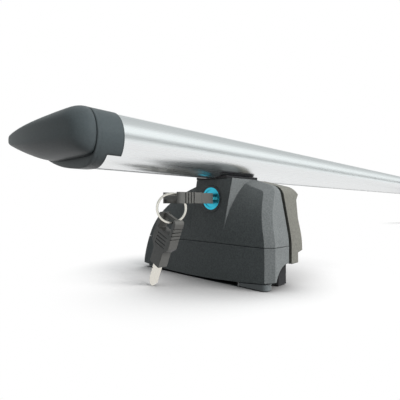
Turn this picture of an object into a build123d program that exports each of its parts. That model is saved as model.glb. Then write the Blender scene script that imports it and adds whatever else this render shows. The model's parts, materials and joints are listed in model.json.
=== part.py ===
from build123d import *
import os

# Roof crossbar of a car luggage rack, with two lockable clamp feet.
# Millimetres. X runs along the bar, the leading edge faces -Y, and the floor is Z = 0.
# The near foot and end are modelled at -X, and the far ones are their mirror image.

# Crossbar extrusion
BAR_LENGTH = 1150.0
BAR_THICKNESS = 30.0
BAR_UNDERSIDE_Z = 75.0
BAR_LEADING_Y = -35.0
BAR_TRAILING_Y = 43.0
TAIL_THICKNESS = 7.0
TAIL_RISE = 16.0
BAR_WALL = 2.0
SLOT_Y = -14.0
SLOT_LIP = 2.5
SLOT_MOUTH = 10.0
SLOT_WIDTH = 19.0
SLOT_DEPTH = 7.0
STRIP_FIT = 0.15
STRIP_SET_BACK = 0.4

# End caps
CAP_PROUD = 0.6
CAP_FIT = 0.1
COLLAR_LENGTH = 15.0
COLLAR_WEB = 2.0
PLUG_LENGTH = 18.0
PLUG_FIT = 0.3
NOTCH_LENGTH = 8.0
NOTCH_RISE = 5.5
CAP_SEAM = 0.5
NOSE_LEADING_REACH = 9.0
NOSE_MIDDLE_REACH = 14.5
NOSE_TRAILING_REACH = 18.0
NOSE_LIFT = 5.0
NOSE_ROUND_REACH = 13.0
NOSE_TOP_DROP = 5.0
NOSE_UNDER_RISE = 4.0
NOSE_TIP_FALL = 2.0
NOSE_ROUNDING = 0.47

# Foot, in its own frame: x = 0 is the outer face of the lock column, and x grows inboard
FOOT_SET_IN = 99.0
FOOT_HALF_LENGTH = 67.0
SADDLE_Z = 73.2
COVER_DEPTH = 22.0
COVER_WALL = 2.5
FRONT_CHAMFER = 5.0
COVER_CLEARANCE = 0.9
SEAM_Z = 27.6
SEAM_GAP = 0.4
LEAN_START_Z = 34.0
LEAN_REACH = 20.0
FRONT_WALL_TOP_Z = 32.0
FRONT_SHOULDER_Y = -60.0
FRONT_SHOULDER_Z = 67.5
FRONT_TOP_Y = -39.0
FRONT_SHOULDER_RADIUS = 8.5
FRONT_WALL_RADIUS = 60.0
REAR_TOP_Y = 4.0
REAR_MIDDLE_Y = 46.0
REAR_MIDDLE_Z = 47.5
REAR_LOW_Z = 6.2
COLUMN_FRONT_TOP_Y = -36.0
COLUMN_FRONT_LOW_Y = -27.0
COLUMN_REAR_TOP_Y = -1.0
COLUMN_REAR_LOW_Y = 7.0
SKIRT_FRONT_Z = 5.6
SKIRT_MIDDLE_Y = 12.0
SKIRT_MIDDLE_Z = 0.6
SKIRT_REAR_Z = 3.0
ARCH_START_X = 6.5
ARCH_START_Z = 4.7
ARCH_TOP_X = 20.0
ARCH_TOP_Z = 16.0

# Inner body of the foot
BODY_GAP = 3.6
BODY_RIM = 2.5
BODY_RECESS = 8.0
RECESS_FRONT_Y = -34.0
RECESS_REAR_Y = 38.0
BODY_UNDERSIDE_Z = 15.0
BODY_STEP_Z = 22.0
BODY_STEP_RISE = 1.2
BODY_NECK_X = 34.5
BODY_LOW_X = 40.5
BODY_WAIST_X = 39.5
BODY_WAIST_Z = 46.0
BODY_FLARE_X = 42.0
BODY_FLARE_Z = 59.0
BODY_BULGE_X = 46.0
BODY_BULGE_Z = 63.0
BODY_BROW_X = 42.5
BODY_BROW_Z = 67.5
BODY_TOP_X = 37.0
TRAY_X = 13.5
TRAY_Z = 17.0
TRAY_THICKNESS = 3.0
PILLAR_X = 19.6
GASKET_FRONT_Y = -31.0
GASKET_REAR_Y = 3.0
GASKET_LIP_Z = 76.6
BAR_CLEARANCE = 0.3

# Fastening to the bar: T-bolt, washer and nut
TEE_X = 29.5
TEE_RADIUS = 4.0
TEE_HEAD_LENGTH = 24.0
TEE_HEAD_HEIGHT = 4.5
TEE_HEAD_FIT = 0.3
TEE_LENGTH = 24.0
NUT_ACROSS_FLATS = 13.0
NUT_HEIGHT = 6.5
WASHER_RADIUS = 7.5
WASHER_THICKNESS = 1.5
BOLT_CLEARANCE = 0.3
THREAD_FIT = 0.05
POCKET_TOP_Z = 66.0
POCKET_LOW_Z = 50.0
POCKET_HALF_WIDTH = 10.5
POCKET_DEPTH = 12.0

# Rail clamp: claw, bolt, washer, barrel nut and rubber pad
CLAW_PLATE = 3.0
CLAW_LOW_X = 3.6
CLAW_HIGH_X = 10.0
CLAW_JOG_Z = 26.5
CLAW_TOP_Z = 50.0
CLAW_FRONT_GAP = 11.0
CLAW_REAR_GAP = 18.0
CLAW_TAB_HALF = 12.0
CLAW_TRAVEL = 6.0
TOE_OUTER_X = 0.5
TOE_INNER_X = 9.0
TOE_HEIGHT = 4.2
FRONT_TOE_LENGTH = 24.0
REAR_TOE_LENGTH = 14.0
TOE_END_GAP = 4.2
TOE_GAP = 0.5
LIP_LIFT = 1.5
CLAMP_Y = 20.0
CLAMP_Z = 38.0
CLAMP_RADIUS = 4.0
CLAMP_REACH = 22.0
CLAMP_HEAD_RADIUS = 6.5
CLAMP_HEAD_HEIGHT = 4.0
CLAMP_SOCKET_FLATS = 6.0
CLAMP_SOCKET_DEPTH = 3.0
BARREL_NUT_X = 27.5
BARREL_NUT_RADIUS = 5.5
BARREL_NUT_HALF_LENGTH = 7.0
PAD_OUTER_X = 20.0
PAD_INNER_X = 30.0
PAD_END_GAP = 7.0
PAD_GROOVE = 1.2
PAD_GROOVE_PITCH = 11.5

# Lock in the column
LOCK_Y = -16.0
LOCK_Z = 60.0
LOCK_RADIUS = 8.2
LOCK_TURN_FIT = 0.06
LOCK_BARREL_RADIUS = 9.3
LOCK_FLANGE_RADIUS = 9.9
LOCK_FLANGE = 0.6
LOCK_DEPTH = 16.0
LOCK_STUD_RADIUS = 3.0
LOCK_FACE_DISH = 0.6
CAM_THICKNESS = 2.4
CAM_GAP = 0.4
CAM_LENGTH = 22.0
CAM_WIDTH = 9.0
CATCH_THICKNESS = 3.0
CATCH_HALF_WIDTH = 8.0
CATCH_OVERLAP = 8.0

# Keys and ring, on the near foot
KEYWAY_WIDTH = 8.0
KEYWAY_HEIGHT = 2.6
KEYWAY_DEPTH = 16.0
KEY_SLACK = 0.3
BLADE_LENGTH = 17.0
BLADE_TANG = 7.0
HEAD_STANDOFF = 3.0
HEAD_LENGTH = 34.5
HEAD_THICKNESS = 7.4
HEAD_WIDTH = 18.0
HEAD_CORNER_RADIUS = 2.5
HEAD_NECK_WIDTH = 10.0
HEAD_NECK_LENGTH = 11.0
HEAD_TAPER = 4.5
LOOP_THICKNESS = 2.4
LOOP_BAR = 2.4
LOOP_HOLE_LENGTH = 8.4
LOOP_HOLE_WIDTH = 12.6
RIB_START = 3.0
RIB_COUNT = 4
RIB_PITCH = 2.5
RIB_DEPTH = 0.8
RING_RADIUS = 9.5
RING_WIRE = 0.8
RING_HALF_WIDTH = 0.55
RING_CLEARANCE = 0.7
SPARE_CLEARANCE = 1.2
RING_YAW = 30.0
SPARE_TILT = 24.0

# Values worked out from the sizes above
BAR_TOP_Z = BAR_UNDERSIDE_Z + BAR_THICKNESS
BAR_END_X = -BAR_LENGTH / 2
SEAM_X = BAR_END_X - COLLAR_WEB
FOOT_X = BAR_END_X + FOOT_SET_IN
BODY_X = COVER_DEPTH + BODY_GAP
NOSE_EDGE_RADIUS = NOSE_ROUNDING * (TAIL_THICKNESS + 2 * CAP_PROUD)
COVER_TOP_Z = BAR_UNDERSIDE_Z - COVER_CLEARANCE
CLAW_FRONT_Y = CLAW_FRONT_GAP - FOOT_HALF_LENGTH
CLAW_REAR_Y = FOOT_HALF_LENGTH - CLAW_REAR_GAP
PAD_HALF_LENGTH = FOOT_HALF_LENGTH - PAD_END_GAP

# Reach of cutting tools past what they cut, and a distance beyond the whole part
CUT = 1.0
FAR = 400.0


def polygon(*points):
    return make_face(Polyline(*points, close=True))


def rectangle(low_u, low_v, high_u, high_v):
    return polygon((low_u, low_v), (high_u, low_v), (high_u, high_v), (low_u, high_v))


def block(low, high):
    size = [b - a for a, b in zip(low, high)]
    middle = [(a + b) / 2 for a, b in zip(low, high)]
    return Pos(*middle) * Box(*size)


def along_x(profile, start, length):
    """Extrude a (y, z) profile along X from start."""
    return extrude(Plane.YZ.offset(start) * profile, length)


def across_y(profile):
    """Extrude an (x, z) profile right across the foot."""
    return extrude(Plane.XZ * profile, FAR, both=True)


def rod_x(radius, start, end, y, z):
    return along_x(Pos(y, z) * Circle(radius), start, end - start)


def rod_z(radius, low, high, x, y):
    return extrude(Plane.XY.offset(low) * (Pos(x, y) * Circle(radius)), high - low)


# Crossbar
def bar_outline(grow=0.0):
    nose_radius = BAR_THICKNESS / 2
    nose_y = BAR_LEADING_Y + nose_radius
    middle_z = BAR_UNDERSIDE_Z + nose_radius
    tail_low = (BAR_TRAILING_Y, BAR_UNDERSIDE_Z + TAIL_RISE)
    tail_high = (BAR_TRAILING_Y, BAR_UNDERSIDE_Z + TAIL_RISE + TAIL_THICKNESS)
    low = (nose_y, BAR_UNDERSIDE_Z)
    high = (nose_y, BAR_TOP_Z)
    edges = [
        ThreePointArc(low, (BAR_LEADING_Y, middle_z), high),
        TangentArc(high, tail_high, tangent=(1, 0)),
        Line(tail_high, tail_low),
        TangentArc(low, tail_low, tangent=(1, 0)),
    ]
    face = make_face(edges)
    tail = [v for v in face.vertices() if abs(v.X - BAR_TRAILING_Y) < 0.001]
    face = fillet(tail, TAIL_THICKNESS * 0.4)
    return offset(face, grow) if grow else face


def slot_faces(lip_z, direction, fit=0.0):
    """Mouth and chamber of a T-slot that opens away from direction."""
    half_mouth = SLOT_MOUTH / 2 - fit
    half_width = SLOT_WIDTH / 2 - fit
    inner = lip_z + direction * (SLOT_LIP + fit)
    floor = lip_z + direction * (SLOT_LIP + SLOT_DEPTH - fit)
    mouth = rectangle(SLOT_Y - half_mouth, lip_z - direction, SLOT_Y + half_mouth, inner)
    chamber = rectangle(SLOT_Y - half_width, inner, SLOT_Y + half_width, floor)
    return mouth + chamber


def slot_walls(lip_z, direction):
    half = SLOT_WIDTH / 2 + BAR_WALL
    floor = lip_z + direction * (SLOT_LIP + SLOT_DEPTH + BAR_WALL)
    return rectangle(SLOT_Y - half, lip_z, SLOT_Y + half, floor)


def bar_cavities():
    cavities = bar_outline(-BAR_WALL)
    cavities -= slot_walls(BAR_UNDERSIDE_Z, 1)
    cavities -= slot_walls(BAR_TOP_Z, -1)
    return cavities


def make_crossbar():
    section = bar_outline() - bar_cavities()
    section -= slot_faces(BAR_UNDERSIDE_Z, 1)
    section -= slot_faces(BAR_TOP_Z, -1)
    return along_x(section, BAR_END_X, BAR_LENGTH)


def make_slot_strip():
    section = slot_faces(BAR_TOP_Z, -1, STRIP_FIT)
    section -= rectangle(-FAR, BAR_TOP_Z - STRIP_SET_BACK, FAR, BAR_TOP_Z + FAR)
    return along_x(section, BAR_END_X, BAR_LENGTH)


# End caps
def make_cap_collar():
    outline = bar_outline(CAP_PROUD)
    sleeve = along_x(outline - bar_outline(CAP_FIT), SEAM_X, COLLAR_LENGTH)
    web = along_x(outline, SEAM_X, COLLAR_WEB)
    plug_front = SLOT_Y + SLOT_WIDTH / 2 + BAR_WALL
    hollow = bar_cavities() & rectangle(plug_front, 0, FAR, FAR)
    plug = along_x(offset(hollow, -PLUG_FIT), BAR_END_X, PLUG_LENGTH)
    inner_x = SEAM_X + COLLAR_LENGTH
    notch = block(
        (inner_x - NOTCH_LENGTH, -FAR, 0),
        (inner_x + CUT, FAR, BAR_UNDERSIDE_Z + NOTCH_RISE),
    )
    return sleeve - notch + web + plug


def make_cap_nose():
    """Domed end: the cap's outline cut by a bowed plan and elevation, with a rounded rim."""
    outer_x = SEAM_X - CAP_SEAM
    leading_y = BAR_LEADING_Y - CAP_PROUD
    trailing_y = BAR_TRAILING_Y + CAP_PROUD
    middle_y = (leading_y + trailing_y) / 2
    bow = ThreePointArc(
        (outer_x - NOSE_LEADING_REACH, leading_y),
        (outer_x - NOSE_MIDDLE_REACH, middle_y),
        (outer_x - NOSE_TRAILING_REACH, trailing_y),
    )
    ends = [bow @ 0, bow @ 1]
    back = Polyline(ends[1], (outer_x, trailing_y), (outer_x, leading_y), ends[0])
    plan = extrude(make_face([bow, back]), FAR)
    reach = NOSE_TRAILING_REACH + NOSE_MIDDLE_REACH
    top = (outer_x, BAR_TOP_Z + CAP_PROUD)
    bottom = (outer_x, BAR_UNDERSIDE_Z - CAP_PROUD + NOSE_LIFT)
    bend_x = outer_x - NOSE_ROUND_REACH
    tip_x = outer_x - NOSE_TRAILING_REACH
    bend_top = (bend_x, top[1] - NOSE_TOP_DROP)
    bend_bottom = (bend_x, bottom[1] + NOSE_UNDER_RISE)
    tip_top = (tip_x, bend_top[1] - NOSE_TIP_FALL)
    tip_bottom = (tip_x, bend_bottom[1] + NOSE_TIP_FALL)
    elevation = make_face([
        TangentArc(top, bend_top, tangent=(-1, 0)),
        Polyline(bend_top, tip_top, tip_bottom, bend_bottom),
        TangentArc(bottom, bend_bottom, tangent=(-1, 0)),
        Line(bottom, top),
    ])
    solid = along_x(bar_outline(CAP_PROUD), outer_x - reach, reach) & plan
    end_face = solid.faces().sort_by(Axis.X)[0]
    return fillet(end_face.edges(), NOSE_EDGE_RADIUS) & across_y(elevation)


# Outer form of the covers, and the same form drawn in by a wall
def side_outline(inset=0.0, top=COVER_TOP_Z):
    front = -FOOT_HALF_LENGTH
    rear = FOOT_HALF_LENGTH
    low = -FAR / 4
    corner = (FRONT_SHOULDER_Y, FRONT_SHOULDER_Z)
    wall_top = (front, FRONT_WALL_TOP_Z)
    edges = [
        Polyline((rear, REAR_LOW_Z), (rear, low), (front, low), wall_top,
                 corner, (FRONT_TOP_Y, top), (REAR_TOP_Y, top)),
        ThreePointArc((REAR_TOP_Y, top), (REAR_MIDDLE_Y, REAR_MIDDLE_Z), (rear, REAR_LOW_Z)),
    ]
    face = make_face(edges)
    for point, radius in ((corner, FRONT_SHOULDER_RADIUS), (wall_top, FRONT_WALL_RADIUS)):
        bend = face.vertices().sort_by_distance((*point, 0))[0]
        face = fillet(bend, radius)
    return offset(face, -inset) if inset else face


def lean_profile(inset):
    """Outboard face seen along the foot: upright, then curving inboard."""
    start = (inset, LEAN_START_Z)
    end = (LEAN_REACH + inset, COVER_TOP_Z + CUT)
    lean = TangentArc(start, end, tangent=(0, 1))
    rest = Polyline(end, (FAR, end[1]), (FAR, -FAR / 4), (inset, -FAR / 4), start)
    return make_face([lean, rest])


def column_outline(inset):
    face = polygon(
        (COLUMN_FRONT_LOW_Y, LEAN_START_Z), (COLUMN_FRONT_TOP_Y, COVER_TOP_Z),
        (COLUMN_REAR_TOP_Y, COVER_TOP_Z), (COLUMN_REAR_LOW_Y, LEAN_START_Z),
    )
    return offset(face, -inset) if inset else face


def front_corner(form):
    """Edges where the outboard faces meet the front end wall."""
    outer = [f for f in form.faces() if f.normal_at().X < -0.3]
    walls = [f for f in form.faces() if abs(f.normal_at().X) < 0.05 and abs(f.normal_at().Z) < 0.97]
    wall_edges = [e for f in walls for e in f.edges()]
    shared = [e for f in outer for e in f.edges() if any(e.is_same(w) for w in wall_edges)]
    return [e for e in shared if e.center().Y < 0]


def cover_form(inset, depth):
    """Shoulders and lock column, drawn in by inset and reaching inboard to depth."""
    deep = depth + 4 * FRONT_CHAMFER
    form = along_x(side_outline(inset), inset, deep) & across_y(lean_profile(inset))
    form = chamfer(front_corner(form), FRONT_CHAMFER)
    form += along_x(column_outline(inset), inset, depth - inset)
    return form & block((-FAR, -FAR, -FAR), (depth, FAR, FAR))


def above(z):
    return block((-FAR, -FAR, z), (FAR, FAR, FAR))


def below(z):
    return block((-FAR, -FAR, -FAR), (FAR, FAR, z))


# Covers
def make_cover_shell():
    return cover_form(0, COVER_DEPTH) - cover_form(COVER_WALL, COVER_DEPTH + CUT)


def make_upper_cover(shell):
    cover = shell & above(SEAM_Z + SEAM_GAP / 2)
    return cover - rod_x(LOCK_BARREL_RADIUS + THREAD_FIT, -CUT, COVER_WALL + CUT, LOCK_Y, LOCK_Z)


def below_skirt(drop=0.0):
    """Everything lower than the skirt's bowed edge, or than that edge let down by drop."""
    end = FOOT_HALF_LENGTH + CUT
    front = (-end, SKIRT_FRONT_Z - drop)
    rear = (end, SKIRT_REAR_Z - drop)
    bow = ThreePointArc(front, (SKIRT_MIDDLE_Y, SKIRT_MIDDLE_Z - drop), rear)
    under = Polyline(rear, (end, -FAR), (-end, -FAR), front)
    return along_x(make_face([bow, under]), -FAR, 2 * FAR)


def make_lower_cover(shell):
    rise = TangentArc((ARCH_TOP_X, ARCH_TOP_Z), (ARCH_START_X, ARCH_START_Z), tangent=(-1, 0))
    sides = Polyline((ARCH_START_X, ARCH_START_Z), (ARCH_START_X, -FAR), (FAR, -FAR),
                     (FAR, ARCH_TOP_Z), (ARCH_TOP_X, ARCH_TOP_Z))
    arch = across_y(make_face([rise, sides]))
    return (shell & below(SEAM_Z - SEAM_GAP / 2)) - below_skirt() - arch


# Inner body, which stands under the bar and carries everything else on the foot
def make_body():
    profile = polygon(
        (BODY_X, BODY_UNDERSIDE_Z), (BODY_NECK_X, BODY_UNDERSIDE_Z), (BODY_NECK_X, BODY_STEP_Z),
        (BODY_LOW_X, BODY_STEP_Z + BODY_STEP_RISE), (BODY_WAIST_X, BODY_WAIST_Z),
        (BODY_FLARE_X, BODY_FLARE_Z), (BODY_BULGE_X, BODY_BULGE_Z), (BODY_BROW_X, BODY_BROW_Z),
        (BODY_TOP_X, SADDLE_Z), (BODY_X, SADDLE_Z),
    )
    body = along_x(side_outline(top=SADDLE_Z), BODY_X, FAR / 4) & across_y(profile)
    hollow = along_x(side_outline(BODY_RIM, SADDLE_Z), BODY_X - CUT, BODY_RECESS + CUT)
    hollow &= above(BODY_UNDERSIDE_Z + BODY_RIM)
    body -= hollow - block((-FAR, RECESS_FRONT_Y, -FAR), (FAR, RECESS_REAR_Y, FAR))
    tray_top = TRAY_Z + TRAY_THICKNESS
    tray = block((TRAY_X, -FAR, TRAY_Z), (BODY_X, FAR, tray_top))
    tray &= cover_form(COVER_WALL + CAP_FIT, COVER_DEPTH + BODY_GAP)
    pillar = block(
        (PILLAR_X, CLAMP_Y - CLAW_TAB_HALF, TRAY_Z),
        (BODY_X, CLAMP_Y + CLAW_TAB_HALF, CLAW_TOP_Z),
    )
    cam_x = LOCK_DEPTH + CAM_GAP
    catch_top = LOCK_Z - CAM_LENGTH + CATCH_OVERLAP
    catch = block(
        (cam_x - CAM_GAP - CATCH_THICKNESS, LOCK_Y - CATCH_HALF_WIDTH, TRAY_Z),
        (cam_x - CAM_GAP, LOCK_Y + CATCH_HALF_WIDTH, catch_top),
    )
    pocket = block(
        (BODY_X - CUT, SLOT_Y - POCKET_HALF_WIDTH, POCKET_LOW_Z),
        (BODY_X + POCKET_DEPTH, SLOT_Y + POCKET_HALF_WIDTH, POCKET_TOP_Z),
    )
    tee_hole = rod_z(TEE_RADIUS + BOLT_CLEARANCE, POCKET_TOP_Z - CUT, SADDLE_Z + CUT, TEE_X, SLOT_Y)
    bolt_end = CLAW_HIGH_X + CLAMP_REACH + CLAW_TRAVEL + CUT
    clamp_hole = rod_x(CLAMP_RADIUS + BOLT_CLEARANCE, PILLAR_X - CUT, bolt_end, CLAMP_Y, CLAMP_Z)
    nut_top = CLAMP_Z + BARREL_NUT_HALF_LENGTH
    nut_hole = rod_z(BARREL_NUT_RADIUS + THREAD_FIT, 0, nut_top, BARREL_NUT_X, CLAMP_Y)
    return body + tray + pillar + catch - pocket - tee_hole - clamp_hole - nut_hole


def make_gasket():
    section = rectangle(GASKET_FRONT_Y, SADDLE_Z, GASKET_REAR_Y, GASKET_LIP_Z)
    section -= bar_outline(BAR_CLEARANCE)
    plate = along_x(section, BODY_X, BODY_TOP_X - BODY_X)
    return plate - rod_z(TEE_RADIUS + BOLT_CLEARANCE, SADDLE_Z - CUT, BAR_TOP_Z, TEE_X, SLOT_Y)


# Fastening to the bar
def make_tee_bolt():
    seat = BAR_UNDERSIDE_Z + SLOT_LIP + TEE_HEAD_FIT
    half = SLOT_WIDTH / 2 - TEE_HEAD_FIT
    head = block(
        (TEE_X - TEE_HEAD_LENGTH / 2, SLOT_Y - half, seat),
        (TEE_X + TEE_HEAD_LENGTH / 2, SLOT_Y + half, seat + TEE_HEAD_HEIGHT),
    )
    return head + rod_z(TEE_RADIUS, seat - TEE_LENGTH, seat, TEE_X, SLOT_Y)


def make_tee_washer():
    low = POCKET_TOP_Z - WASHER_THICKNESS
    disc = rod_z(WASHER_RADIUS, low, POCKET_TOP_Z, TEE_X, SLOT_Y)
    return disc - rod_z(TEE_RADIUS + BOLT_CLEARANCE, low, POCKET_TOP_Z, TEE_X, SLOT_Y)


def make_tee_nut():
    top = POCKET_TOP_Z - WASHER_THICKNESS
    hexagon = Pos(TEE_X, SLOT_Y) * RegularPolygon(NUT_ACROSS_FLATS / 2, 6, major_radius=False)
    nut = extrude(Plane.XY.offset(top - NUT_HEIGHT) * hexagon, NUT_HEIGHT)
    return nut - rod_z(TEE_RADIUS + THREAD_FIT, top - NUT_HEIGHT, top, TEE_X, SLOT_Y)


# Rail clamp
def make_claw():
    low_end = CLAW_LOW_X + CLAW_PLATE
    high_end = CLAW_HIGH_X + CLAW_PLATE
    jog_top = CLAW_JOG_Z + CLAW_PLATE
    plate = block((CLAW_LOW_X, CLAW_FRONT_Y, LIP_LIFT), (low_end, CLAW_REAR_Y, CLAW_JOG_Z))
    tab_low = CLAMP_Y - CLAW_TAB_HALF
    tab_high = CLAMP_Y + CLAW_TAB_HALF
    jog = block((CLAW_LOW_X, tab_low, CLAW_JOG_Z), (high_end, tab_high, jog_top))
    tab = block((CLAW_HIGH_X, tab_low, CLAW_JOG_Z), (high_end, tab_high, CLAW_TOP_Z))
    tab = fillet(tab.edges().filter_by(Axis.X).group_by(Axis.Z)[-1], CLAW_PLATE * 2)
    lip = block((CLAW_LOW_X, CLAW_FRONT_Y, LIP_LIFT), (TOE_INNER_X, CLAW_REAR_Y, TOE_HEIGHT))
    claw = plate + jog + tab + lip
    end = FOOT_HALF_LENGTH - TOE_END_GAP
    skirt_room = block((-FAR, -FAR, -FAR), (CLAW_LOW_X, FAR, FAR)) - below_skirt(TOE_GAP)
    for toe_low, toe_high in ((-end, FRONT_TOE_LENGTH - end), (end - REAR_TOE_LENGTH, end)):
        toe = block((TOE_OUTER_X, toe_low, 0), (TOE_INNER_X, toe_high, TOE_HEIGHT))
        claw += fillet(toe.edges().filter_by(Axis.Z), CLAW_PLATE) - skirt_room
    return claw - rod_x(CLAMP_RADIUS + BOLT_CLEARANCE, 0, high_end + CUT, CLAMP_Y, CLAMP_Z)


def make_clamp_washer():
    start = CLAW_HIGH_X - WASHER_THICKNESS
    disc = rod_x(WASHER_RADIUS, start, CLAW_HIGH_X, CLAMP_Y, CLAMP_Z)
    return disc - rod_x(CLAMP_RADIUS + BOLT_CLEARANCE, start, CLAW_HIGH_X, CLAMP_Y, CLAMP_Z)


def make_clamp_bolt():
    seat = CLAW_HIGH_X - WASHER_THICKNESS
    head = rod_x(CLAMP_HEAD_RADIUS, seat - CLAMP_HEAD_HEIGHT, seat, CLAMP_Y, CLAMP_Z)
    hexagon = RegularPolygon(CLAMP_SOCKET_FLATS / 2, 6, major_radius=False)
    socket = along_x(Pos(CLAMP_Y, CLAMP_Z) * hexagon, seat - CLAMP_HEAD_HEIGHT, CLAMP_SOCKET_DEPTH)
    shaft = rod_x(CLAMP_RADIUS, seat, CLAW_HIGH_X + CLAMP_REACH, CLAMP_Y, CLAMP_Z)
    return head - socket + shaft


def make_barrel_nut():
    low = CLAMP_Z - BARREL_NUT_HALF_LENGTH
    high = CLAMP_Z + BARREL_NUT_HALF_LENGTH
    nut = rod_z(BARREL_NUT_RADIUS, low, high, BARREL_NUT_X, CLAMP_Y)
    return nut - rod_x(CLAMP_RADIUS + THREAD_FIT, 0, FAR, CLAMP_Y, CLAMP_Z)


def make_rail_pad():
    pad = block(
        (PAD_OUTER_X, -PAD_HALF_LENGTH, 0), (PAD_INNER_X, PAD_HALF_LENGTH, BODY_UNDERSIDE_Z),
    )
    count = int(PAD_HALF_LENGTH / PAD_GROOVE_PITCH)
    for step in range(-count, count + 1):
        y = step * PAD_GROOVE_PITCH
        pad -= block(
            (PAD_OUTER_X - CUT, y - PAD_GROOVE, -CUT),
            (PAD_OUTER_X + PAD_GROOVE, y + PAD_GROOVE, BODY_UNDERSIDE_Z + CUT),
        )
    return pad


# Lock
def make_lock_barrel():
    flange = rod_x(LOCK_FLANGE_RADIUS, -LOCK_FLANGE, 0, LOCK_Y, LOCK_Z)
    sleeve = rod_x(LOCK_BARREL_RADIUS, 0, LOCK_DEPTH - CATCH_THICKNESS - CAM_GAP, LOCK_Y, LOCK_Z)
    return flange + sleeve - rod_x(LOCK_RADIUS + LOCK_TURN_FIT, -FAR, FAR, LOCK_Y, LOCK_Z)


def make_lock_cylinder():
    plug = rod_x(LOCK_RADIUS, -LOCK_FLANGE, LOCK_DEPTH, LOCK_Y, LOCK_Z)
    stud_end = LOCK_DEPTH + CAM_GAP + CAM_THICKNESS
    stud = rod_x(LOCK_STUD_RADIUS, LOCK_DEPTH, stud_end, LOCK_Y, LOCK_Z)
    half_width = KEYWAY_WIDTH / 2
    half_height = KEYWAY_HEIGHT / 2
    keyway = block(
        (-LOCK_FLANGE - CUT, LOCK_Y - half_width, LOCK_Z - half_height),
        (KEYWAY_DEPTH - LOCK_FLANGE - CUT, LOCK_Y + half_width, LOCK_Z + half_height),
    )
    dish = rod_x(LOCK_RADIUS * 0.8, -LOCK_FLANGE - CUT, LOCK_FACE_DISH - LOCK_FLANGE, LOCK_Y, LOCK_Z)
    return plug + stud - keyway - dish


def make_lock_cam():
    half = CAM_WIDTH / 2
    arm = Pos(LOCK_Y + (CAM_LENGTH - half) / 2, LOCK_Z) * SlotCenterToCenter(CAM_LENGTH - half, CAM_WIDTH)
    cam = along_x(arm, LOCK_DEPTH + CAM_GAP, CAM_THICKNESS)
    return cam - rod_x(LOCK_STUD_RADIUS + THREAD_FIT, 0, FAR, LOCK_Y, LOCK_Z)


# Keys, each drawn flat with its loop bar at the origin and its blade along +X
def key_head():
    length = HEAD_LENGTH
    grip_start = LOOP_BAR / 2 + LOOP_HOLE_LENGTH
    neck_start = length - HEAD_NECK_LENGTH
    grip_end = neck_start - HEAD_TAPER
    half = HEAD_WIDTH / 2
    half_neck = HEAD_NECK_WIDTH / 2
    grip = polygon(
        (-LOOP_BAR / 2, -half), (grip_end, -half), (neck_start, -half_neck), (length, -half_neck),
        (length, half_neck), (neck_start, half_neck), (grip_end, half), (-LOOP_BAR / 2, half),
    )
    corners = [v for v in grip.vertices() if v.X < length - CUT]
    grip = fillet(corners, HEAD_CORNER_RADIUS)
    half_hole = LOOP_HOLE_WIDTH / 2
    grip -= rectangle(LOOP_BAR / 2, -half_hole, grip_start, half_hole)
    head = extrude(grip, HEAD_THICKNESS / 2, both=True)
    for side in (-1, 1):
        saddle = Pos(0, 0, side * (HEAD_THICKNESS + LOOP_THICKNESS) / 2)
        head -= saddle * Box(LOOP_BAR + CUT, LOOP_HOLE_WIDTH, HEAD_THICKNESS)
    for step in range(RIB_COUNT):
        offset_x = (step + 0.5) * RIB_PITCH
        for side in (-1, 1):
            edge_groove = Pos(RIB_START + offset_x, side * half, 0)
            head -= edge_groove * Box(RIB_PITCH / 3, 2 * RIB_DEPTH, HEAD_THICKNESS + CUT)
            flat_groove = Pos(grip_start + RIB_START / 2 + offset_x, 0, side * HEAD_THICKNESS / 2)
            head -= flat_groove * Box(RIB_PITCH / 3, HEAD_NECK_WIDTH, RIB_DEPTH)
    tang_half = KEYWAY_WIDTH / 2 - KEY_SLACK
    flat_half = KEYWAY_HEIGHT / 2 - KEY_SLACK
    return head - block((length - BLADE_TANG, -tang_half, -flat_half), (length + CUT, tang_half, flat_half))


def key_blade():
    half = KEYWAY_WIDTH / 2 - KEY_SLACK
    start = HEAD_LENGTH - BLADE_TANG
    tip = HEAD_LENGTH + BLADE_LENGTH
    outline = polygon(
        (start, -half), (tip - half, -half), (tip, -half / 3), (tip, half / 3),
        (tip - half, half), (start, half),
    )
    for step in range(RIB_COUNT):
        x = HEAD_LENGTH + HEAD_STANDOFF + CUT + (step + 0.5) * RIB_PITCH
        outline -= polygon((x - RIB_DEPTH, half), (x + RIB_DEPTH, half), (x, half - RIB_DEPTH))
    return extrude(outline, KEYWAY_HEIGHT / 2 - KEY_SLACK, both=True)


KEY_LOOP_X = -LOCK_FLANGE - HEAD_STANDOFF - HEAD_LENGTH
KEY_PLACE = Pos(KEY_LOOP_X, LOCK_Y, LOCK_Z)
RING_Z = LOCK_Z + LOOP_THICKNESS / 2 + RING_CLEARANCE + RING_WIRE - RING_RADIUS
RING_LOW_Z = RING_Z - RING_RADIUS
SPARE_LOOP_Z = RING_LOW_Z + RING_WIRE + SPARE_CLEARANCE + LOOP_BAR / 2
SPARE_PLACE = Pos(KEY_LOOP_X, LOCK_Y, SPARE_LOOP_Z) * Rot(X=SPARE_TILT) * Rot(Y=90)


def make_key_ring():
    """Flat ring of square wire, standing on edge."""
    band = Circle(RING_RADIUS + RING_WIRE) - Circle(RING_RADIUS - RING_WIRE)
    ring = extrude(band, RING_HALF_WIDTH, both=True)
    return Pos(KEY_LOOP_X, LOCK_Y, RING_Z) * Rot(Z=-RING_YAW) * Rot(X=90) * ring


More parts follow.
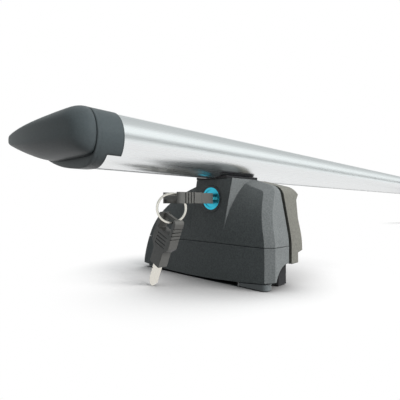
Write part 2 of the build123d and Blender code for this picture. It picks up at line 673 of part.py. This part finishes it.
# Every node, the foot's first in its own frame
def foot_pieces():
    shell = make_cover_shell()
    return {
        "foot_body": make_body(),
        "upper_cover": make_upper_cover(shell),
        "lower_cover": make_lower_cover(shell),
        "saddle_gasket": make_gasket(),
        "tee_bolt": make_tee_bolt(),
        "tee_washer": make_tee_washer(),
        "tee_nut": make_tee_nut(),
        "clamp_claw": make_claw(),
        "clamp_washer": make_clamp_washer(),
        "clamp_bolt": make_clamp_bolt(),
        "barrel_nut": make_barrel_nut(),
        "rail_pad": make_rail_pad(),
        "lock_barrel": make_lock_barrel(),
        "lock_cylinder": make_lock_cylinder(),
        "lock_cam": make_lock_cam(),
    }


def key_pieces():
    return {
        "key_head": KEY_PLACE * key_head(),
        "key_blade": KEY_PLACE * key_blade(),
        "key_ring": make_key_ring(),
        "spare_key_head": SPARE_PLACE * key_head(),
        "spare_key_blade": SPARE_PLACE * key_blade(),
    }


def all_pieces():
    pieces = {"crossbar": make_crossbar(), "slot_strip": make_slot_strip()}
    ends = {"cap_collar": make_cap_collar(), "cap_nose": make_cap_nose()}
    for name, solid in foot_pieces().items():
        ends[name] = Pos(FOOT_X, 0, 0) * solid
    for name, solid in ends.items():
        pieces[f"near_{name}"] = solid
        pieces[f"far_{name}"] = mirror(solid, about=Plane.YZ)
    for name, solid in key_pieces().items():
        pieces[name] = Pos(FOOT_X, 0, 0) * solid
    return pieces


if __name__ == "__main__":
    os.makedirs("parts", exist_ok=True)
    for name, solid in all_pieces().items():
        print(name, round(solid.volume, 1), len(solid.solids()))
        export_step(solid, f"parts/{name}.step")
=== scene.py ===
import json
import math
import bmesh
import bpy
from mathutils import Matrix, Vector


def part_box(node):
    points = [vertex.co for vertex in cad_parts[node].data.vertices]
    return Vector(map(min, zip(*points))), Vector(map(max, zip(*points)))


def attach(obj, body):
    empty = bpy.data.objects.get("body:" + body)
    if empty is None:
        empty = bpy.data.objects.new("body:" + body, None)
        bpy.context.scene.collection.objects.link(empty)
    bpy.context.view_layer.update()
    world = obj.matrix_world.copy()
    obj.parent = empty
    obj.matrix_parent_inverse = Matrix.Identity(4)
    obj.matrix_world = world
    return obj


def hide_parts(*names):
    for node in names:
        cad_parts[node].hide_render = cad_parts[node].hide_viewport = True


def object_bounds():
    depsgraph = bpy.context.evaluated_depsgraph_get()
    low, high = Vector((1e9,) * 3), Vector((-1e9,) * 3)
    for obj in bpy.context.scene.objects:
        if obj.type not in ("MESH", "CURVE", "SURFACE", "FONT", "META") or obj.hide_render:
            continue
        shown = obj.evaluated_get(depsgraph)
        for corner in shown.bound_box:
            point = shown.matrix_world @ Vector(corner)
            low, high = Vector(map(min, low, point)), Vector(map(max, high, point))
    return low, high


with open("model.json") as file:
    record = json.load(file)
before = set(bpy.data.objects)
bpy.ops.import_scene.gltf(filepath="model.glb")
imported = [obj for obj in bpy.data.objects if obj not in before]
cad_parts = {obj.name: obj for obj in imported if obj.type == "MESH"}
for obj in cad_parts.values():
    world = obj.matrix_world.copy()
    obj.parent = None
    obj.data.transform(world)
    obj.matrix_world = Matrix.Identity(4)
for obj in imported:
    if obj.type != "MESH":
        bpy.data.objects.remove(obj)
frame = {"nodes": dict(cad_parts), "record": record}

CAD_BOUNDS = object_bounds()
FOOT_MIDDLE = sum((Vector(corner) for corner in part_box("near_foot_body")), Vector()) / 2

# Camera, fitted to the photograph: metres and degrees, in the part's frame
CAMERA_PLACE = Vector((-0.65344, -0.18046, 0.05581))
CAMERA_HEADING = 44.79
CAMERA_PITCH = 0.73
FOCAL_PIXELS = 328.0
IMAGE_PIXELS = 400.0
SENSOR_MM = 36.0
CAMERA_CLIP_START = 0.01

# Floor, in metres: its colour as the camera sees it and as other rays do, its level in reflections,
# where it starts to turn white and is white, and how far the painted shade round what stands on it goes
FLOOR_SIZE = 12.0
FLOOR_COLOUR = (0.74, 0.72, 0.715)
FLOOR_BOUNCE = (0.20, 0.20, 0.20)
FLOOR_MIRRORED = 0.86
FLOOR_NEAR = 0.06
FLOOR_FADE = 0.14
FLOOR_PAINTED_SHADE_REACH = 0.07
FLOOR_PAINTED_SHADE_SAMPLES = 16
FLOOR_ROUGHNESS = 0.9

# World: its soft light, and the levels that reflections see, by degrees up from level ahead of the
# leading edge and over the top
WORLD_STRENGTH = 0.22
WORLD_COLOUR = (0.70, 0.93, 1.0)
BANDS = ((0, 1.0), (9, 1.0), (16, 0.24), (24, 0.24), (33, 1.0),
         (60, 1.0), (78, 0.60), (110, 0.56), (180, 0.75))
BAND_TINT = (0.955, 1.0, 1.0)

# Lamps: place and size in metres, and watts
KEY_PLACE = (-0.2, -1.7, 0.95)
KEY_SIZE = (1.4, 0.8)
KEY_WATTS = 74
TOP_PLACE = (0.3, 0.5, 1.8)
TOP_SIZE = (2.0, 0.8)
TOP_WATTS = 24

# Domed ends of the caps: points round, rings up the rounded rim and rings on to the middle line
NOSE_POINTS = 120
NOSE_RIM_RINGS = 14
NOSE_FACE_RINGS = 4

# Form of the domes, metres: the lift of the underside and the softness of its corner, the radius and power
# of the rim, the gap at the seam, the reach as a quadratic across the bar, and the taper in height
NOSE_LIFT = 0.0048
NOSE_SOFTNESS = 0.0035
NOSE_ROUND = 0.0085
NOSE_FULLNESS = 2.3
NOSE_SEAM = 0.0005
NOSE_REACH = (0.0085, 0.0235, -0.0145)
NOSE_TAPER = 0.22
NOSE_TAPER_FROM = 0.012
NOSE_ROUND_SHARE = 0.6
NOSE_SEAM_INSET = 0.08
NOSE_SEAM_TOLERANCE = 1e-6

# Middle line of the domes, metres: its ends, and where the heights of those ends are read
NOSE_THICK_AT = 0.016
NOSE_THICK_NEAR = 0.003
NOSE_TAIL_NEAR = 0.001
NOSE_SPINE_START = 0.0135
NOSE_SPINE_END = 0.0040

# Points closer than this are joined, metres: on the middle line and elsewhere
NOSE_MIDDLE_MERGE = 0.0007
NOSE_MERGE = 0.00002

# Rubber flaps between the bar and the lock columns, metres: y and upper z along the bar's underside
FLAP_TOP = ((-0.0310, 0.0763), (-0.0265, 0.0763), (-0.0244, 0.0755), (-0.0222, 0.07505), (-0.0200, 0.07490),
            (-0.0090, 0.07520), (-0.0045, 0.07580), (-0.0010, 0.07625))
FLAP_UNDER = 0.07425
FLAP_REACH = 0.0260
FLAP_EDGE = 0.00015
FLAP_EDGE_STEPS = 2

# Split ring, metres
RING_WIRE_DEPTH = 0.0015
RING_WIRE_WIDTH = 0.00052
RING_STEPS = 160
RING_JOINT_ANGLE = 2.2
RING_CROSSING = 0.06
RING_TURN_SHIFT = 0.56

# Section of the ring's flat wire with its corners cut, in half depths and half widths
RING_SECTION = ((-1, -0.5), (-0.7, -1), (0.7, -1), (1, -0.5), (1, 0.5), (0.7, 1), (-0.7, 1), (-1, 0.5))

# Finishes: the range that noise mostly fills, and its scale, strength and change of roughness
NOISE_LOW = 0.3
NOISE_HIGH = 0.7
TONE_SCALE = 28.0
SPECK_SCALE = 1100.0
GRAIN_STRENGTH = 0.6
GRAIN_ROUGHNESS = 0.07
STREAK_STRENGTH = 0.25
STREAK_ROUGHNESS = 0.05
STREAK_SPREAD = 0.05
METAL_SOFTEN = 0.0004
BEVEL_SAMPLES = 6

# Finish colours, linear
ALUMINIUM = (0.95, 0.965, 0.97)
CAP_GREY = (0.043, 0.052, 0.055)
COVER_GREY = (0.122, 0.129, 0.129)
BODY_GREY = (0.128, 0.125, 0.110)
RUBBER_BLACK = (0.010, 0.010, 0.011)
ZINC = (0.56, 0.56, 0.54)
CLAW_GREY = (0.085, 0.095, 0.098)
SURROUND_BLACK = (0.016, 0.019, 0.021)
TURQUOISE = (0.06, 0.60, 0.80)
KEY_CHARCOAL = (0.080, 0.079, 0.074)
NICKEL = (0.82, 0.79, 0.72)


# Material helpers
def new_material(name):
    """A material with its nodes, links and main shader."""
    material = bpy.data.materials.new(name)
    material.use_nodes = True
    nodes = material.node_tree.nodes
    return material, nodes, material.node_tree.links, nodes["Principled BSDF"]


def noise(nodes, links, scale, detail, stretch=(1.0, 1.0, 1.0)):
    """Object-space noise, stretched by axis, as a node with a Fac output."""
    coordinates = nodes.new("ShaderNodeTexCoord")
    mapping = nodes.new("ShaderNodeMapping")
    mapping.inputs["Scale"].default_value = stretch
    texture = nodes.new("ShaderNodeTexNoise")
    texture.inputs["Scale"].default_value = scale
    texture.inputs["Detail"].default_value = detail
    links.new(coordinates.outputs["Object"], mapping.inputs["Vector"])
    links.new(mapping.outputs["Vector"], texture.inputs["Vector"])
    return texture


def span(nodes, links, source, low, high):
    """Map a noise output onto low to high."""
    node = nodes.new("ShaderNodeMapRange")
    node.inputs["From Min"].default_value = NOISE_LOW
    node.inputs["From Max"].default_value = NOISE_HIGH
    node.inputs["To Min"].default_value = low
    node.inputs["To Max"].default_value = high
    links.new(source, node.inputs["Value"])
    return node.outputs["Result"]


def tint(nodes, links, source, colour, spread):
    """Vary a colour between (1 - spread) and (1 + spread) of itself."""
    mix = nodes.new("ShaderNodeMix")
    mix.data_type = "RGBA"
    mix.inputs["A"].default_value = [c * (1 - spread) for c in colour] + [1]
    mix.inputs["B"].default_value = [c * (1 + spread) for c in colour] + [1]
    links.new(source, mix.inputs["Factor"])
    return mix.outputs["Result"]


def bump(nodes, links, height, strength, distance, soften):
    """Normals with a bump, and with edges softened by a small bevel radius, in metres."""
    bevel = nodes.new("ShaderNodeBevel")
    bevel.samples = BEVEL_SAMPLES
    bevel.inputs["Radius"].default_value = soften
    node = nodes.new("ShaderNodeBump")
    node.inputs["Strength"].default_value = strength
    node.inputs["Distance"].default_value = distance
    links.new(height, node.inputs["Height"])
    links.new(bevel.outputs["Normal"], node.inputs["Normal"])
    return node.outputs["Normal"]


def speckled(nodes, links, base, speckle):
    """Darken and lighten a colour in specks about a millimetre wide."""
    specks = noise(nodes, links, SPECK_SCALE, detail=2.0)
    mix = nodes.new("ShaderNodeMix")
    mix.data_type = "RGBA"
    mix.blend_type = "MULTIPLY"
    mix.inputs["Factor"].default_value = 1.0
    links.new(base, mix.inputs["A"])
    links.new(span(nodes, links, specks.outputs["Fac"], 1 - speckle, 1 + speckle), mix.inputs["B"])
    return mix.outputs["Result"]


def moulded_plastic(name, colour, roughness, grain, grain_depth, soften=0.0006, spread=0.12, gloss=0.5,
                    speckle=0.08):
    """Moulded plastic: a fine spark-eroded grain over slow changes of tone."""
    material, nodes, links, shader = new_material(name)
    shader.inputs["Specular IOR Level"].default_value = gloss
    slow = noise(nodes, links, TONE_SCALE, detail=3.0)
    fine = noise(nodes, links, grain, detail=5.0)
    tone = tint(nodes, links, slow.outputs["Fac"], colour, spread)
    links.new(speckled(nodes, links, tone, speckle), shader.inputs["Base Color"])
    smooth, matt = roughness - GRAIN_ROUGHNESS, roughness + GRAIN_ROUGHNESS
    rough = span(nodes, links, fine.outputs["Fac"], smooth, matt)
    links.new(rough, shader.inputs["Roughness"])
    normal = bump(nodes, links, fine.outputs["Fac"], GRAIN_STRENGTH, grain_depth, soften)
    links.new(normal, shader.inputs["Normal"])
    return material


def metal(name, colour, roughness, grain, stretch, depth):
    """Metal with a drawn or plated grain that runs along the axis with the small stretch."""
    material, nodes, links, shader = new_material(name)
    streaks = noise(nodes, links, grain, detail=4.0, stretch=stretch)
    shader.inputs["Metallic"].default_value = 1.0
    tone = tint(nodes, links, streaks.outputs["Fac"], colour, STREAK_SPREAD)
    links.new(tone, shader.inputs["Base Color"])
    smooth, matt = roughness - STREAK_ROUGHNESS, roughness + STREAK_ROUGHNESS
    rough = span(nodes, links, streaks.outputs["Fac"], smooth, matt)
    links.new(rough, shader.inputs["Roughness"])
    normal = bump(nodes, links, streaks.outputs["Fac"], STREAK_STRENGTH, depth, METAL_SOFTEN)
    links.new(normal, shader.inputs["Normal"])
    return material


# Materials by slot: colour, roughness, scale of the grain, for metals its stretch, and its depth in metres
MATERIALS = {
    "bar_aluminium": metal("bar_aluminium", ALUMINIUM, 0.29, 900.0, (0.01, 1.0, 1.0), 0.00003),
    "strip_rubber": moulded_plastic("strip_rubber", RUBBER_BLACK, 0.75, 1500.0, 0.00008),
    "cap_plastic": moulded_plastic("cap_plastic", CAP_GREY, 0.42, 2600.0, 0.00004,
                                   soften=0.0022, gloss=0.35),
    "cover_plastic": moulded_plastic("cover_plastic", COVER_GREY, 0.50, 1500.0, 0.00012,
                                     gloss=0.15, speckle=0.20),
    "body_plastic": moulded_plastic("body_plastic", BODY_GREY, 0.55, 1300.0, 0.00014,
                                    soften=0.0008, spread=0.10, gloss=0.25, speckle=0.26),
    "pad_rubber": moulded_plastic("pad_rubber", RUBBER_BLACK, 0.7, 1500.0, 0.00008),
    "fastener_steel": metal("fastener_steel", ZINC, 0.32, 500.0, (1.0, 1.0, 1.0), 0.00002),
    "claw_metal": moulded_plastic("claw_metal", CLAW_GREY, 0.42, 1400.0, 0.00006),
    "lock_surround": moulded_plastic("lock_surround", SURROUND_BLACK, 0.40, 2200.0, 0.00003),
    "lock_turquoise": metal("lock_turquoise", TURQUOISE, 0.32, 900.0, (1.0, 1.0, 1.0), 0.00001),
    "key_plastic": moulded_plastic("key_plastic", KEY_CHARCOAL, 0.42, 2200.0, 0.00006, soften=0.0005),
    "key_steel": metal("key_steel", NICKEL, 0.24, 700.0, (1.0, 1.0, 0.1), 0.00002),
}


def dress_nodes():
    """Give each solid the material of its slot."""
    for subpart in frame["record"]["subparts"]:
        thing = frame["nodes"][subpart["node"]]
        thing.data.materials.clear()
        thing.data.materials.append(MATERIALS[subpart["material_slot"]])


def new_piece(name, mesh, slot):
    """An object for a mesh, in the material of its slot."""
    mesh.materials.append(MATERIALS[slot])
    piece = bpy.data.objects.new(name, mesh)
    bpy.context.collection.objects.link(piece)
    return piece


# Domed ends of the caps
def cap_outline():
    """The cap's section at its seam, as evenly spaced points in y and z."""
    collar = frame["nodes"]["near_cap_collar"].data
    seam = min(v.co.x for v in collar.vertices)
    at_seam = [v.co for v in collar.vertices if v.co.x - seam < NOSE_SEAM_TOLERANCE]
    found = {(round(p.y, 6), round(p.z, 6)) for p in at_seam}
    points = [Vector(p) for p in found]
    middle = sum(points, Vector((0, 0))) / len(points)
    points.sort(key=lambda p: math.atan2(p.y - middle.y, p.x - middle.x))
    loop = points + points[:1]
    lengths = [0.0]
    for a, b in zip(loop, loop[1:]):
        lengths.append(lengths[-1] + (b - a).length)
    even = []
    place = 0
    for step in range(NOSE_POINTS):
        wanted = lengths[-1] * step / NOSE_POINTS
        while lengths[place + 1] < wanted:
            place += 1
        share = (wanted - lengths[place]) / (lengths[place + 1] - lengths[place])
        even.append(loop[place].lerp(loop[place + 1], share))
    return seam, even


def soft_floor(value, low, softness):
    """The greater of the two, with the corner between them rounded."""
    gap = value - low
    return low + (gap + math.sqrt(gap * gap + softness * softness)) / 2


def nose_rings():
    """Rings of points from the seam to the middle line of the domed end."""
    seam, outline = cap_outline()
    leading = min(p.x for p in outline)
    trailing = max(p.x for p in outline)
    low = min(p.y for p in outline) + NOSE_LIFT
    outline = [Vector((p.x, soft_floor(p.y, low, NOSE_SOFTNESS))) for p in outline]
    tail = [p.y for p in outline if p.x > trailing - NOSE_TAIL_NEAR]
    thick = [p.y for p in outline if abs(p.x - leading - NOSE_THICK_AT) < NOSE_THICK_NEAR]
    start = Vector((leading + NOSE_SPINE_START, (min(thick) + max(thick)) / 2))
    end = Vector((trailing - NOSE_SPINE_END, (min(tail) + max(tail)) / 2))
    run = end - start
    rings = []
    # For each ring, its share of the rounding inwards, of the reach outwards and of the way to the middle
    levels = [(0.0, 0.0, 0.0)]
    for step in range(NOSE_RIM_RINGS + 1):
        angle = math.pi / 2 * step / NOSE_RIM_RINGS
        inset = 1 - math.cos(angle) ** (2 / NOSE_FULLNESS)
        levels.append((inset, math.sin(angle) ** (2 / NOSE_FULLNESS), 0.0))
    levels += [(1.0, 1.0, (step + 1) / NOSE_FACE_RINGS) for step in range(NOSE_FACE_RINGS)]
    for number, (inset, depth, onward) in enumerate(levels):
        ring = []
        for point in outline:
            share = max(0.0, min(1.0, (point - start).dot(run) / run.length_squared))
            spine = start + run * share
            inward = spine - point
            rounding = min(NOSE_ROUND, inward.length * NOSE_ROUND_SHARE)
            taper = NOSE_TAPER * min(1.0, (inward.length / NOSE_TAPER_FROM) ** 2)
            moved = point + inward.normalized() * rounding * inset
            moved = moved.lerp(spine, onward)
            if number == 0:
                moved = point.lerp(spine, NOSE_SEAM_INSET)
            along = max(0.0, min(1.0, (moved.x - leading) / (trailing - leading)))
            reach = NOSE_REACH[0] + NOSE_REACH[1] * along + NOSE_REACH[2] * along * along
            out = NOSE_SEAM + (reach - NOSE_SEAM) * depth
            height = spine.y + (moved.y - spine.y) * (1 - taper * depth * depth)
            ring.append(Vector((seam - out, moved.x, height)))
        rings.append(ring)
    return rings


def make_nose(name, node, side):
    """A smooth domed end over its plainer solid, mirrored for the far end."""
    rings = nose_rings()
    vertices = [(p.x * -side, p.y, p.z) for ring in rings for p in ring]
    faces = []
    for row in range(len(rings) - 1):
        for step in range(NOSE_POINTS):
            a = row * NOSE_POINTS + step
            b = row * NOSE_POINTS + (step + 1) % NOSE_POINTS
            face = (a, a + NOSE_POINTS, b + NOSE_POINTS, b)
            faces.append(face if side < 0 else face[::-1])
    mesh = bpy.data.meshes.new(name)
    mesh.from_pydata(vertices, [], faces)
    form = bmesh.new()
    form.from_mesh(mesh)
    form.verts.ensure_lookup_table()
    bmesh.ops.remove_doubles(form, verts=form.verts[-NOSE_POINTS:], dist=NOSE_MIDDLE_MERGE)
    bmesh.ops.remove_doubles(form, verts=form.verts, dist=NOSE_MERGE)
    bmesh.ops.holes_fill(form, edges=form.edges, sides=0)
    bmesh.ops.recalc_face_normals(form, faces=form.faces)
    form.to_mesh(mesh)
    form.free()
    mesh.polygons.foreach_set("use_smooth", [True] * len(mesh.polygons))
    nose = new_piece(name, mesh, "cap_plastic")
    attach(nose, "bar")
    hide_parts(node)


# Gasket flaps
def make_flap(name, foot, gasket, side):
    """The gasket's flap over the lock column, following the bar's underside."""
    low, high = (Vector(corner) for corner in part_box(gasket))
    inner = low.x if side < 0 else high.x
    vertices = []
    for x in (inner, inner + side * FLAP_REACH):
        vertices += [(x, y, z) for y, z in FLAP_TOP]
        vertices += [(x, y, FLAP_UNDER) for y, z in FLAP_TOP]
    count = len(FLAP_TOP)
    faces = []
    for shift in (0, 2 * count):
        for step in range(count - 1):
            a = shift + step
            faces.append((a, a + 1, a + 1 + count, a + count))
    for row in (0, count):
        for step in range(count - 1):
            a = row + step
            faces.append((a, a + 1, a + 1 + 2 * count, a + 2 * count))
    for step in (0, count - 1):
        faces.append((step, step + count, step + 3 * count, step + 2 * count))
    mesh = bpy.data.meshes.new(name)
    mesh.from_pydata(vertices, [], faces)
    form = bmesh.new()
    form.from_mesh(mesh)
    bmesh.ops.recalc_face_normals(form, faces=form.faces)
    form.to_mesh(mesh)
    form.free()
    flap = new_piece(name, mesh, "pad_rubber")
    edge = flap.modifiers.new("soft_edge", "BEVEL")
    edge.width = FLAP_EDGE
    edge.segments = FLAP_EDGE_STEPS
    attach(flap, foot)


# Split ring
def make_split_ring():
    """Two turns of flat wire in place of the plain ring, stepping across at the joint."""
    low, high = (Vector(corner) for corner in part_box("key_ring"))
    joints = {joint["name"]: joint for joint in frame["record"]["behaviour"]["joints"]}
    along = Vector(joints["spare_key_swing"]["axis"]).normalized()
    up = Vector((0, 0, 1))
    aside = along.cross(up)
    outer = (high.z - low.z) / 2
    radius = outer - RING_WIRE_DEPTH / 2
    section = [(u * RING_WIRE_DEPTH / 2, v * RING_WIRE_WIDTH / 2) for u, v in RING_SECTION]
    vertices = []
    for step in range(RING_STEPS + 1):
        turn = 2 * step / RING_STEPS
        angle = 2 * math.pi * turn + RING_JOINT_ANGLE
        shift = max(-1.0, min(1.0, (turn - 1) / RING_CROSSING)) * RING_WIRE_WIDTH * RING_TURN_SHIFT
        spoke = along * math.cos(angle) + up * math.sin(angle)
        for depth, width in section:
            vertices.append((low + high) / 2 + spoke * (radius + depth) + aside * (shift + width))
    count = len(section)
    faces = [list(range(count))[::-1], list(range(RING_STEPS * count, (RING_STEPS + 1) * count))]
    for step in range(RING_STEPS):
        for corner in range(count):
            a = step * count + corner
            b = step * count + (corner + 1) % count
            faces.append((a, b, b + count, a + count))
    mesh = bpy.data.meshes.new("split_ring")
    mesh.from_pydata(vertices, [], faces)
    mesh.polygons.foreach_set("use_smooth", [True] * len(mesh.polygons))
    ring = new_piece("split_ring", mesh, "key_steel")
    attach(ring, "ring")
    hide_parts("key_ring")


# Stage
def combine(nodes, links, operation, first, second):
    """One operation of arithmetic on two outputs."""
    node = nodes.new("ShaderNodeMath")
    node.operation = operation
    links.new(first, node.inputs[0])
    links.new(second, node.inputs[1])
    return node.outputs["Value"]


def mirror_rays(nodes, links, path):
    """One for glossy and transmission rays, and nought for the rest."""
    glossy, through = path.outputs["Is Glossy Ray"], path.outputs["Is Transmission Ray"]
    return combine(nodes, links, "MAXIMUM", glossy, through)


def make_floor():
    """Pale floor that takes the shadow near each foot, with painted shade from an ambient occlusion node
    darkening it close to the foot, and turns white away from it.
    """
    material, nodes, links, shader = new_material("studio_floor")
    shader.inputs["Roughness"].default_value = FLOOR_ROUGHNESS
    shader.inputs["Specular IOR Level"].default_value = 0.0
    path = nodes.new("ShaderNodeLightPath")
    tone = nodes.new("ShaderNodeMix")
    tone.data_type = "RGBA"
    tone.inputs["A"].default_value = (*FLOOR_BOUNCE, 1)
    tone.inputs["B"].default_value = (*FLOOR_COLOUR, 1)
    links.new(path.outputs["Is Camera Ray"], tone.inputs["Factor"])
    # Painted shade: an ambient occlusion node darkens the floor's colour close to whatever stands on it
    painted_shade = nodes.new("ShaderNodeAmbientOcclusion")
    painted_shade.samples = FLOOR_PAINTED_SHADE_SAMPLES
    painted_shade.inputs["Distance"].default_value = FLOOR_PAINTED_SHADE_REACH
    links.new(tone.outputs["Result"], painted_shade.inputs["Color"])
    links.new(painted_shade.outputs["Color"], shader.inputs["Base Color"])
    white = nodes.new("ShaderNodeEmission")
    level = nodes.new("ShaderNodeMapRange")
    level.inputs["To Min"].default_value = FLOOR_MIRRORED
    links.new(path.outputs["Is Camera Ray"], level.inputs["Value"])
    links.new(level.outputs["Result"], white.inputs["Strength"])
    coordinates = nodes.new("ShaderNodeTexCoord")
    folded = nodes.new("ShaderNodeVectorMath")
    folded.operation = "ABSOLUTE"
    links.new(coordinates.outputs["Object"], folded.inputs[0])
    distance = nodes.new("ShaderNodeVectorMath")
    distance.operation = "DISTANCE"
    distance.inputs[1].default_value = (abs(FOOT_MIDDLE.x), 0, 0)
    links.new(folded.outputs["Vector"], distance.inputs[0])
    fade = nodes.new("ShaderNodeMapRange")
    fade.interpolation_type = "SMOOTHSTEP"
    fade.inputs["From Min"].default_value = FLOOR_NEAR
    fade.inputs["From Max"].default_value = FLOOR_FADE
    links.new(distance.outputs["Value"], fade.inputs["Value"])
    far_seen = combine(nodes, links, "MULTIPLY", path.outputs["Is Camera Ray"], fade.outputs["Result"])
    share = combine(nodes, links, "MAXIMUM", far_seen, mirror_rays(nodes, links, path))
    mix = nodes.new("ShaderNodeMixShader")
    links.new(share, mix.inputs["Fac"])
    links.new(shader.outputs["BSDF"], mix.inputs[1])
    links.new(white.outputs["Emission"], mix.inputs[2])
    links.new(mix.outputs["Shader"], nodes["Material Output"].inputs["Surface"])
    bpy.ops.mesh.primitive_plane_add(size=FLOOR_SIZE, location=(0, 0, CAD_BOUNDS[0][2]))
    floor = bpy.context.object
    floor.name = "studio_floor"
    floor.data.materials.append(material)


def studio_bands(nodes, links):
    """Walls and ceiling as reflections see them: pale and grey bands along the bar."""
    coordinates = nodes.new("ShaderNodeTexCoord")
    parts = nodes.new("ShaderNodeSeparateXYZ")
    links.new(coordinates.outputs["Generated"], parts.inputs["Vector"])
    front = nodes.new("ShaderNodeMath")
    front.operation = "MULTIPLY"
    front.inputs[1].default_value = -1.0
    links.new(parts.outputs["Y"], front.inputs[0])
    angle = combine(nodes, links, "ARCTAN2", parts.outputs["Z"], front.outputs["Value"])
    share = nodes.new("ShaderNodeMapRange")
    share.inputs["From Max"].default_value = math.pi
    links.new(angle, share.inputs["Value"])
    ramp = nodes.new("ShaderNodeValToRGB")
    ramp.color_ramp.interpolation = "EASE"
    stops = ramp.color_ramp.elements
    stops.remove(stops[1])
    stops[0].position = 0.0
    stops[0].color = (*(BANDS[0][1] * c for c in BAND_TINT), 1)
    for degrees, level in BANDS[1:]:
        stops.new(degrees / 180).color = (*(level * c for c in BAND_TINT), 1)
    links.new(share.outputs["Result"], ramp.inputs["Fac"])
    return ramp.outputs["Color"]


def make_world():
    """White for the camera, banded for reflections, softer as a light."""
    world = bpy.data.worlds.new("studio_world")
    bpy.context.scene.world = world
    world.use_nodes = True
    nodes = world.node_tree.nodes
    links = world.node_tree.links
    path = nodes.new("ShaderNodeLightPath")
    soft = nodes["Background"]
    soft.inputs["Color"].default_value = (*WORLD_COLOUR, 1)
    soft.inputs["Strength"].default_value = WORLD_STRENGTH
    banded = nodes.new("ShaderNodeBackground")
    links.new(studio_bands(nodes, links), banded.inputs["Color"])
    white = nodes.new("ShaderNodeBackground")
    white.inputs["Color"].default_value = (1, 1, 1, 1)
    mirrored = nodes.new("ShaderNodeMixShader")
    links.new(mirror_rays(nodes, links, path), mirrored.inputs["Fac"])
    links.new(soft.outputs["Background"], mirrored.inputs[1])
    links.new(banded.outputs["Background"], mirrored.inputs[2])
    mix = nodes.new("ShaderNodeMixShader")
    links.new(path.outputs["Is Camera Ray"], mix.inputs["Fac"])
    links.new(mirrored.outputs["Shader"], mix.inputs[1])
    links.new(white.outputs["Background"], mix.inputs[2])
    links.new(mix.outputs["Shader"], nodes["World Output"].inputs["Surface"])


def make_lamp(name, place, target, size, watts):
    """A white area lamp that reflections don't show."""
    data = bpy.data.lights.new(name, "AREA")
    data.shape = "RECTANGLE"
    data.size, data.size_y = size
    data.energy = watts
    lamp = bpy.data.objects.new(name, data)
    bpy.context.collection.objects.link(lamp)
    lamp.location = place
    lamp.visible_glossy = False
    lamp.rotation_euler = (Vector(target) - Vector(place)).to_track_quat("-Z", "Y").to_euler()


def make_camera():
    """The camera of the photograph."""
    heading = math.radians(CAMERA_HEADING)
    pitch = math.radians(CAMERA_PITCH)
    level = math.cos(pitch)
    forward = Vector((math.cos(heading) * level, math.sin(heading) * level, math.sin(pitch)))
    data = bpy.data.cameras.new("photo_camera")
    data.sensor_width = SENSOR_MM
    data.lens = FOCAL_PIXELS * SENSOR_MM / IMAGE_PIXELS
    data.clip_start = CAMERA_CLIP_START
    camera = bpy.data.objects.new("photo_camera", data)
    bpy.context.collection.objects.link(camera)
    camera.location = CAMERA_PLACE
    camera.rotation_euler = forward.to_track_quat("-Z", "Y").to_euler()
    bpy.context.scene.camera = camera


def make_stage():
    """Floor, world, lamps and camera."""
    bpy.context.scene.view_settings.view_transform = "Standard"
    make_floor()
    make_world()
    make_lamp("key_light", KEY_PLACE, FOOT_MIDDLE, KEY_SIZE, KEY_WATTS)
    make_lamp("top_light", TOP_PLACE, (0, 0, 0), TOP_SIZE, TOP_WATTS)
    make_camera()


dress_nodes()
make_nose("near_nose_dome", "near_cap_nose", -1)
make_nose("far_nose_dome", "far_cap_nose", 1)
make_flap("near_gasket_flap", "near_foot", "near_saddle_gasket", -1)
make_flap("far_gasket_flap", "far_foot", "far_saddle_gasket", 1)
make_split_ring()
make_stage()
